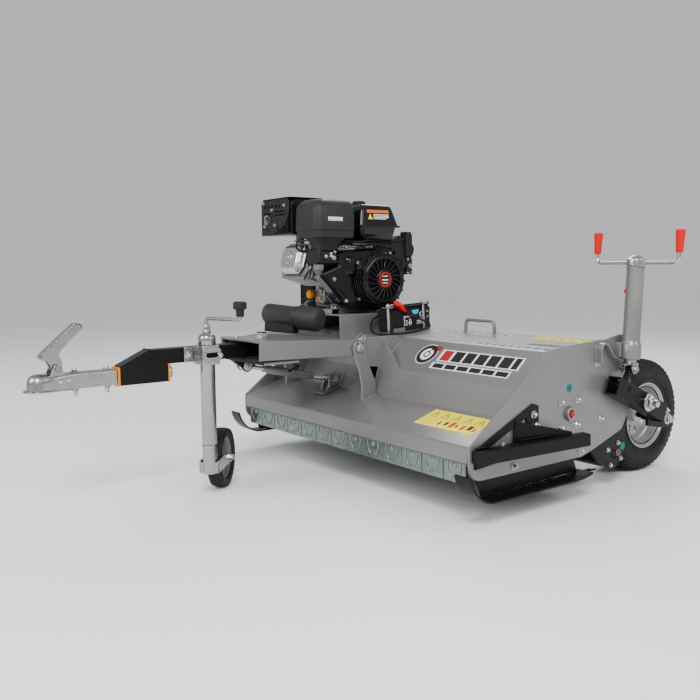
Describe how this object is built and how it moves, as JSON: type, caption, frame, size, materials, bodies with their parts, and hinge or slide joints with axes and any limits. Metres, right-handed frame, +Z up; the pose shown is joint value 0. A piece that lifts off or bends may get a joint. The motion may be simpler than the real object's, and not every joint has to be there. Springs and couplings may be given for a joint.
{
  "type": "flail mower trailer",
  "caption": "Tow-behind flail brush mower with its own petrol engine, rear wheels on jacks, offset drawbar, ball coupler and jockey wheel.",
  "frame": {"origin": "on the ground, under the middle of the machine's bounding box", "axes": "+Y towards the rear wheels (the hitch is at -Y), +Z up, +X to the side with the bumper"},
  "size_m": [1.642, 2.1189, 1.006],
  "materials": {
    "grey_paint": "semi-gloss powder coat",
    "black_paint": "satin powder coat",
    "galvanised": "zinc plated",
    "tyre": "moulded tread",
    "rubber": "matt",
    "black_plastic": "fine texture",
    "gloss_black": "gloss enamel",
    "cast_aluminium": "as cast",
    "orange_plastic": "smooth",
    "red_plastic": "smooth",
    "zinc_bolts": "zinc plated",
    "silver_rim": "silver paint"
  },
  "bodies": {
    "deck": {"deck_shell": "grey_paint", "side_plates": "grey_paint", "engine_bed": "grey_paint", "hitch_brackets": "grey_paint", "grab_handle": "grey_paint", "skids": "black_paint", "side_bumper": "black_paint", "roller_brackets": "black_paint", "bearing_housings": "cast_aluminium", "deck_fasteners": "zinc_bolts", "belt_guard": "black_paint", "drive_belts": "rubber", "engine_block": "cast_aluminium", "valve_cover": "galvanised", "fan_housing": "gloss_black", "recoil_cover": "gloss_black", "fuel_tank": "gloss_black", "air_filter": "black_plastic", "muffler": "gloss_black", "carburettor": "cast_aluminium", "control_box": "black_plastic", "battery": "black_plastic", "battery_leads": "rubber", "jack_tubes": "grey_paint"},
    "front_flaps": {"front_flaps": "galvanised"},
    "rear_curtain": {"rear_curtain": "rubber"},
    "rotor": {"rotor": "black_paint"},
    "flails_a": {"flails_a": "black_paint"},
    "flails_b": {"flails_b": "black_paint"},
    "engine_shaft": {"engine_pulley": "galvanised"},
    "rear_roller": {"rear_roller": "black_paint"},
    "left_arm": {"left_arm": "black_paint"},
    "left_wheel": {"left_rim": "silver_rim", "left_tyre": "tyre"},
    "left_crank": {"left_crank": "galvanised"},
    "left_ram": {"left_ram": "galvanised"},
    "left_link": {"left_link": "black_paint"},
    "right_arm": {"right_arm": "black_paint"},
    "right_wheel": {"right_rim": "silver_rim", "right_tyre": "tyre"},
    "right_crank": {"right_crank": "galvanised"},
    "right_ram": {"right_ram": "galvanised"},
    "right_link": {"right_link": "black_paint"},
    "tongue": {"tongue_frame": "grey_paint", "canister": "black_plastic"},
    "canister_cap": {"canister_cap": "black_plastic"},
    "drawbar": {"drawbar": "black_paint", "swivel_bushes": "orange_plastic", "jockey_clamp": "galvanised", "jockey_tube": "galvanised"},
    "coupler": {"coupler_body": "galvanised", "coupler_bolts": "zinc_bolts"},
    "coupler_lever": {"coupler_lever": "galvanised"},
    "turnbuckle": {"turnbuckle_eye": "galvanised"},
    "turnbuckle_tube": {"turnbuckle_tube": "grey_paint"},
    "turnbuckle_fork": {"turnbuckle_fork": "galvanised"},
    "jockey_crank": {"jockey_crank": "galvanised"},
    "jockey_inner": {"jockey_inner": "galvanised"},
    "jockey_fork": {"jockey_fork": "galvanised"},
    "jockey_wheel": {"jockey_wheel": "tyre"}
  },
  "joints": [
    {"name": "flaps_swing", "type": "hinge", "parent": "deck", "child": "front_flaps", "pos_m": [0, -0.0775, 0.214], "axis": [1, 0, 0], "range_deg": [0, 70]},
    {"name": "curtain_swing", "type": "hinge", "parent": "deck", "child": "rear_curtain", "pos_m": [0, 0.6275, 0.292], "axis": [1, 0, 0], "range_deg": [0, 55]},
    {"name": "rotor_spin", "type": "hinge", "parent": "deck", "child": "rotor", "pos_m": [0, 0.3375, 0.279], "axis": [1, 0, 0], "continuous": true},
    {"name": "flails_a_swing", "type": "hinge", "parent": "rotor", "child": "flails_a", "pos_m": [0, 0.3375, 0.357], "axis": [1, 0, 0], "range_deg": [-80, 80]},
    {"name": "flails_b_swing", "type": "hinge", "parent": "rotor", "child": "flails_b", "pos_m": [0, 0.3375, 0.201], "axis": [1, 0, 0], "range_deg": [-80, 80]},
    {"name": "engine_spin", "type": "hinge", "parent": "deck", "child": "engine_shaft", "pos_m": [-0.676, 0.3225, 0.686], "axis": [1, 0, 0], "continuous": true},
    {"name": "roller_spin", "type": "hinge", "parent": "deck", "child": "rear_roller", "pos_m": [0, 0.5885, 0.112], "axis": [1, 0, 0], "continuous": true},
    {"name": "left_jack_crank", "type": "hinge", "parent": "deck", "child": "left_crank", "pos_m": [0.659, 0.5985, 0.4], "axis": [0, 0.0593, 0.9982], "range_deg": [-3168, 576]},
    {"name": "left_jack_ram", "type": "slide", "parent": "deck", "child": "left_ram", "axis": [0, 0.0593, 0.9982], "range_m": [-0.0445, 0.0085]},
    {"name": "left_link_pivot", "type": "hinge", "parent": "left_ram", "child": "left_link", "pos_m": [0.659, 0.5985, 0.4], "axis": [1, 0, 0], "range_deg": [-12, 3]},
    {"name": "left_arm_pivot", "type": "hinge", "parent": "deck", "child": "left_arm", "pos_m": [0.659, 0.6655, 0.286], "axis": [1, 0, 0], "range_deg": [-4, 20]},
    {"name": "left_wheel_spin", "type": "hinge", "parent": "left_arm", "child": "left_wheel", "pos_m": [0.4865, 0.8585, 0.201], "axis": [1, 0, 0], "continuous": true},
    {"name": "right_jack_crank", "type": "hinge", "parent": "deck", "child": "right_crank", "pos_m": [-0.659, 0.5985, 0.4], "axis": [0, 0.0593, 0.9982], "range_deg": [-3168, 576]},
    {"name": "right_jack_ram", "type": "slide", "parent": "deck", "child": "right_ram", "axis": [0, 0.0593, 0.9982], "range_m": [-0.0445, 0.0085]},
    {"name": "right_link_pivot", "type": "hinge", "parent": "right_ram", "child": "right_link", "pos_m": [-0.659, 0.5985, 0.4], "axis": [1, 0, 0], "range_deg": [-12, 3]},
    {"name": "right_arm_pivot", "type": "hinge", "parent": "deck", "child": "right_arm", "pos_m": [-0.659, 0.6655, 0.286], "axis": [1, 0, 0], "range_deg": [-4, 20]},
    {"name": "right_wheel_spin", "type": "hinge", "parent": "right_arm", "child": "right_wheel", "pos_m": [-0.4865, 0.8585, 0.201], "axis": [1, 0, 0], "continuous": true},
    {"name": "tongue_tilt", "type": "hinge", "parent": "deck", "child": "tongue", "pos_m": [-0.258, 0.0105, 0.457], "axis": [1, 0, 0], "range_deg": [-7.9, 7.9]},
    {"name": "turnbuckle_swing", "type": "hinge", "parent": "deck", "child": "turnbuckle", "pos_m": [-0.258, 0.0635, 0.317], "axis": [1, 0, 0], "range_deg": [-6.4, 6.4]},
    {"name": "turnbuckle_spin", "type": "hinge", "parent": "turnbuckle", "child": "turnbuckle_tube", "pos_m": [-0.258, 0.0635, 0.317], "axis": [0, -0.9765, 0.2155], "range_deg": [-1560, 1560]},
    {"name": "turnbuckle_extend", "type": "slide", "parent": "turnbuckle", "child": "turnbuckle_fork", "axis": [0, -0.9765, 0.2155], "range_m": [-0.0178, 0.0178]},
    {"name": "drawbar_swing", "type": "hinge", "parent": "tongue", "child": "drawbar", "pos_m": [-0.19, -0.2715, 0.463], "axis": [0, 0, 1], "range_deg": [-25, 25]},
    {"name": "coupler_roll", "type": "hinge", "parent": "drawbar", "child": "coupler", "pos_m": [-0.19, -0.7395, 0.411], "axis": [0, 1, 0], "continuous": true},
    {"name": "coupler_lever_lift", "type": "hinge", "parent": "coupler", "child": "coupler_lever", "pos_m": [-0.19, -0.9675, 0.452], "axis": [1, 0, 0], "range_deg": [-24, 0]},
    {"name": "canister_cap_twist", "type": "hinge", "parent": "tongue", "child": "canister_cap", "pos_m": [-0.43, -0.1095, 0.566], "axis": [0.8954, 0.4367, -0.0872], "range_deg": [0, 90]},
    {"name": "jockey_crank_spin", "type": "hinge", "parent": "drawbar", "child": "jockey_crank", "pos_m": [-0.121, -0.5135, 0.532], "axis": [0, 0, 1], "range_deg": [0, 7200]},
    {"name": "jockey_extend", "type": "slide", "parent": "drawbar", "child": "jockey_inner", "axis": [0, 0, -1], "range_m": [0, 0.1205]},
    {"name": "jockey_swivel", "type": "hinge", "parent": "jockey_inner", "child": "jockey_fork", "pos_m": [-0.121, -0.5135, 0.12], "axis": [0, 0, 1], "continuous": true},
    {"name": "jockey_wheel_spin", "type": "hinge", "parent": "jockey_fork", "child": "jockey_wheel", "pos_m": [-0.21973, -0.42143, 0.1], "axis": [0.682, 0.7314, 0], "continuous": true}
  ],
  "couplings": [
    {"joint": "engine_spin", "follows": "rotor_spin", "ratio": 1.1923},
    {"joint": "left_jack_ram", "follows": "left_jack_crank", "m_per_rad": 0.00079577},
    {"joint": "left_link_pivot", "follows": "left_jack_crank", "ratio": 0.0031944},
    {"joint": "left_arm_pivot", "follows": "left_jack_crank", "ratio": -0.00625},
    {"joint": "right_jack_ram", "follows": "right_jack_crank", "m_per_rad": 0.00079577},
    {"joint": "right_link_pivot", "follows": "right_jack_crank", "ratio": 0.0031944},
    {"joint": "right_arm_pivot", "follows": "right_jack_crank", "ratio": -0.00625},
    {"joint": "turnbuckle_extend", "follows": "tongue_tilt", "m_per_rad": -0.1253},
    {"joint": "turnbuckle_spin", "follows": "tongue_tilt", "ratio": -196.82},
    {"joint": "turnbuckle_swing", "follows": "tongue_tilt", "ratio": 0.7825},
    {"joint": "jockey_extend", "follows": "jockey_crank_spin", "m_per_rad": 0.00095493}
  ]
}
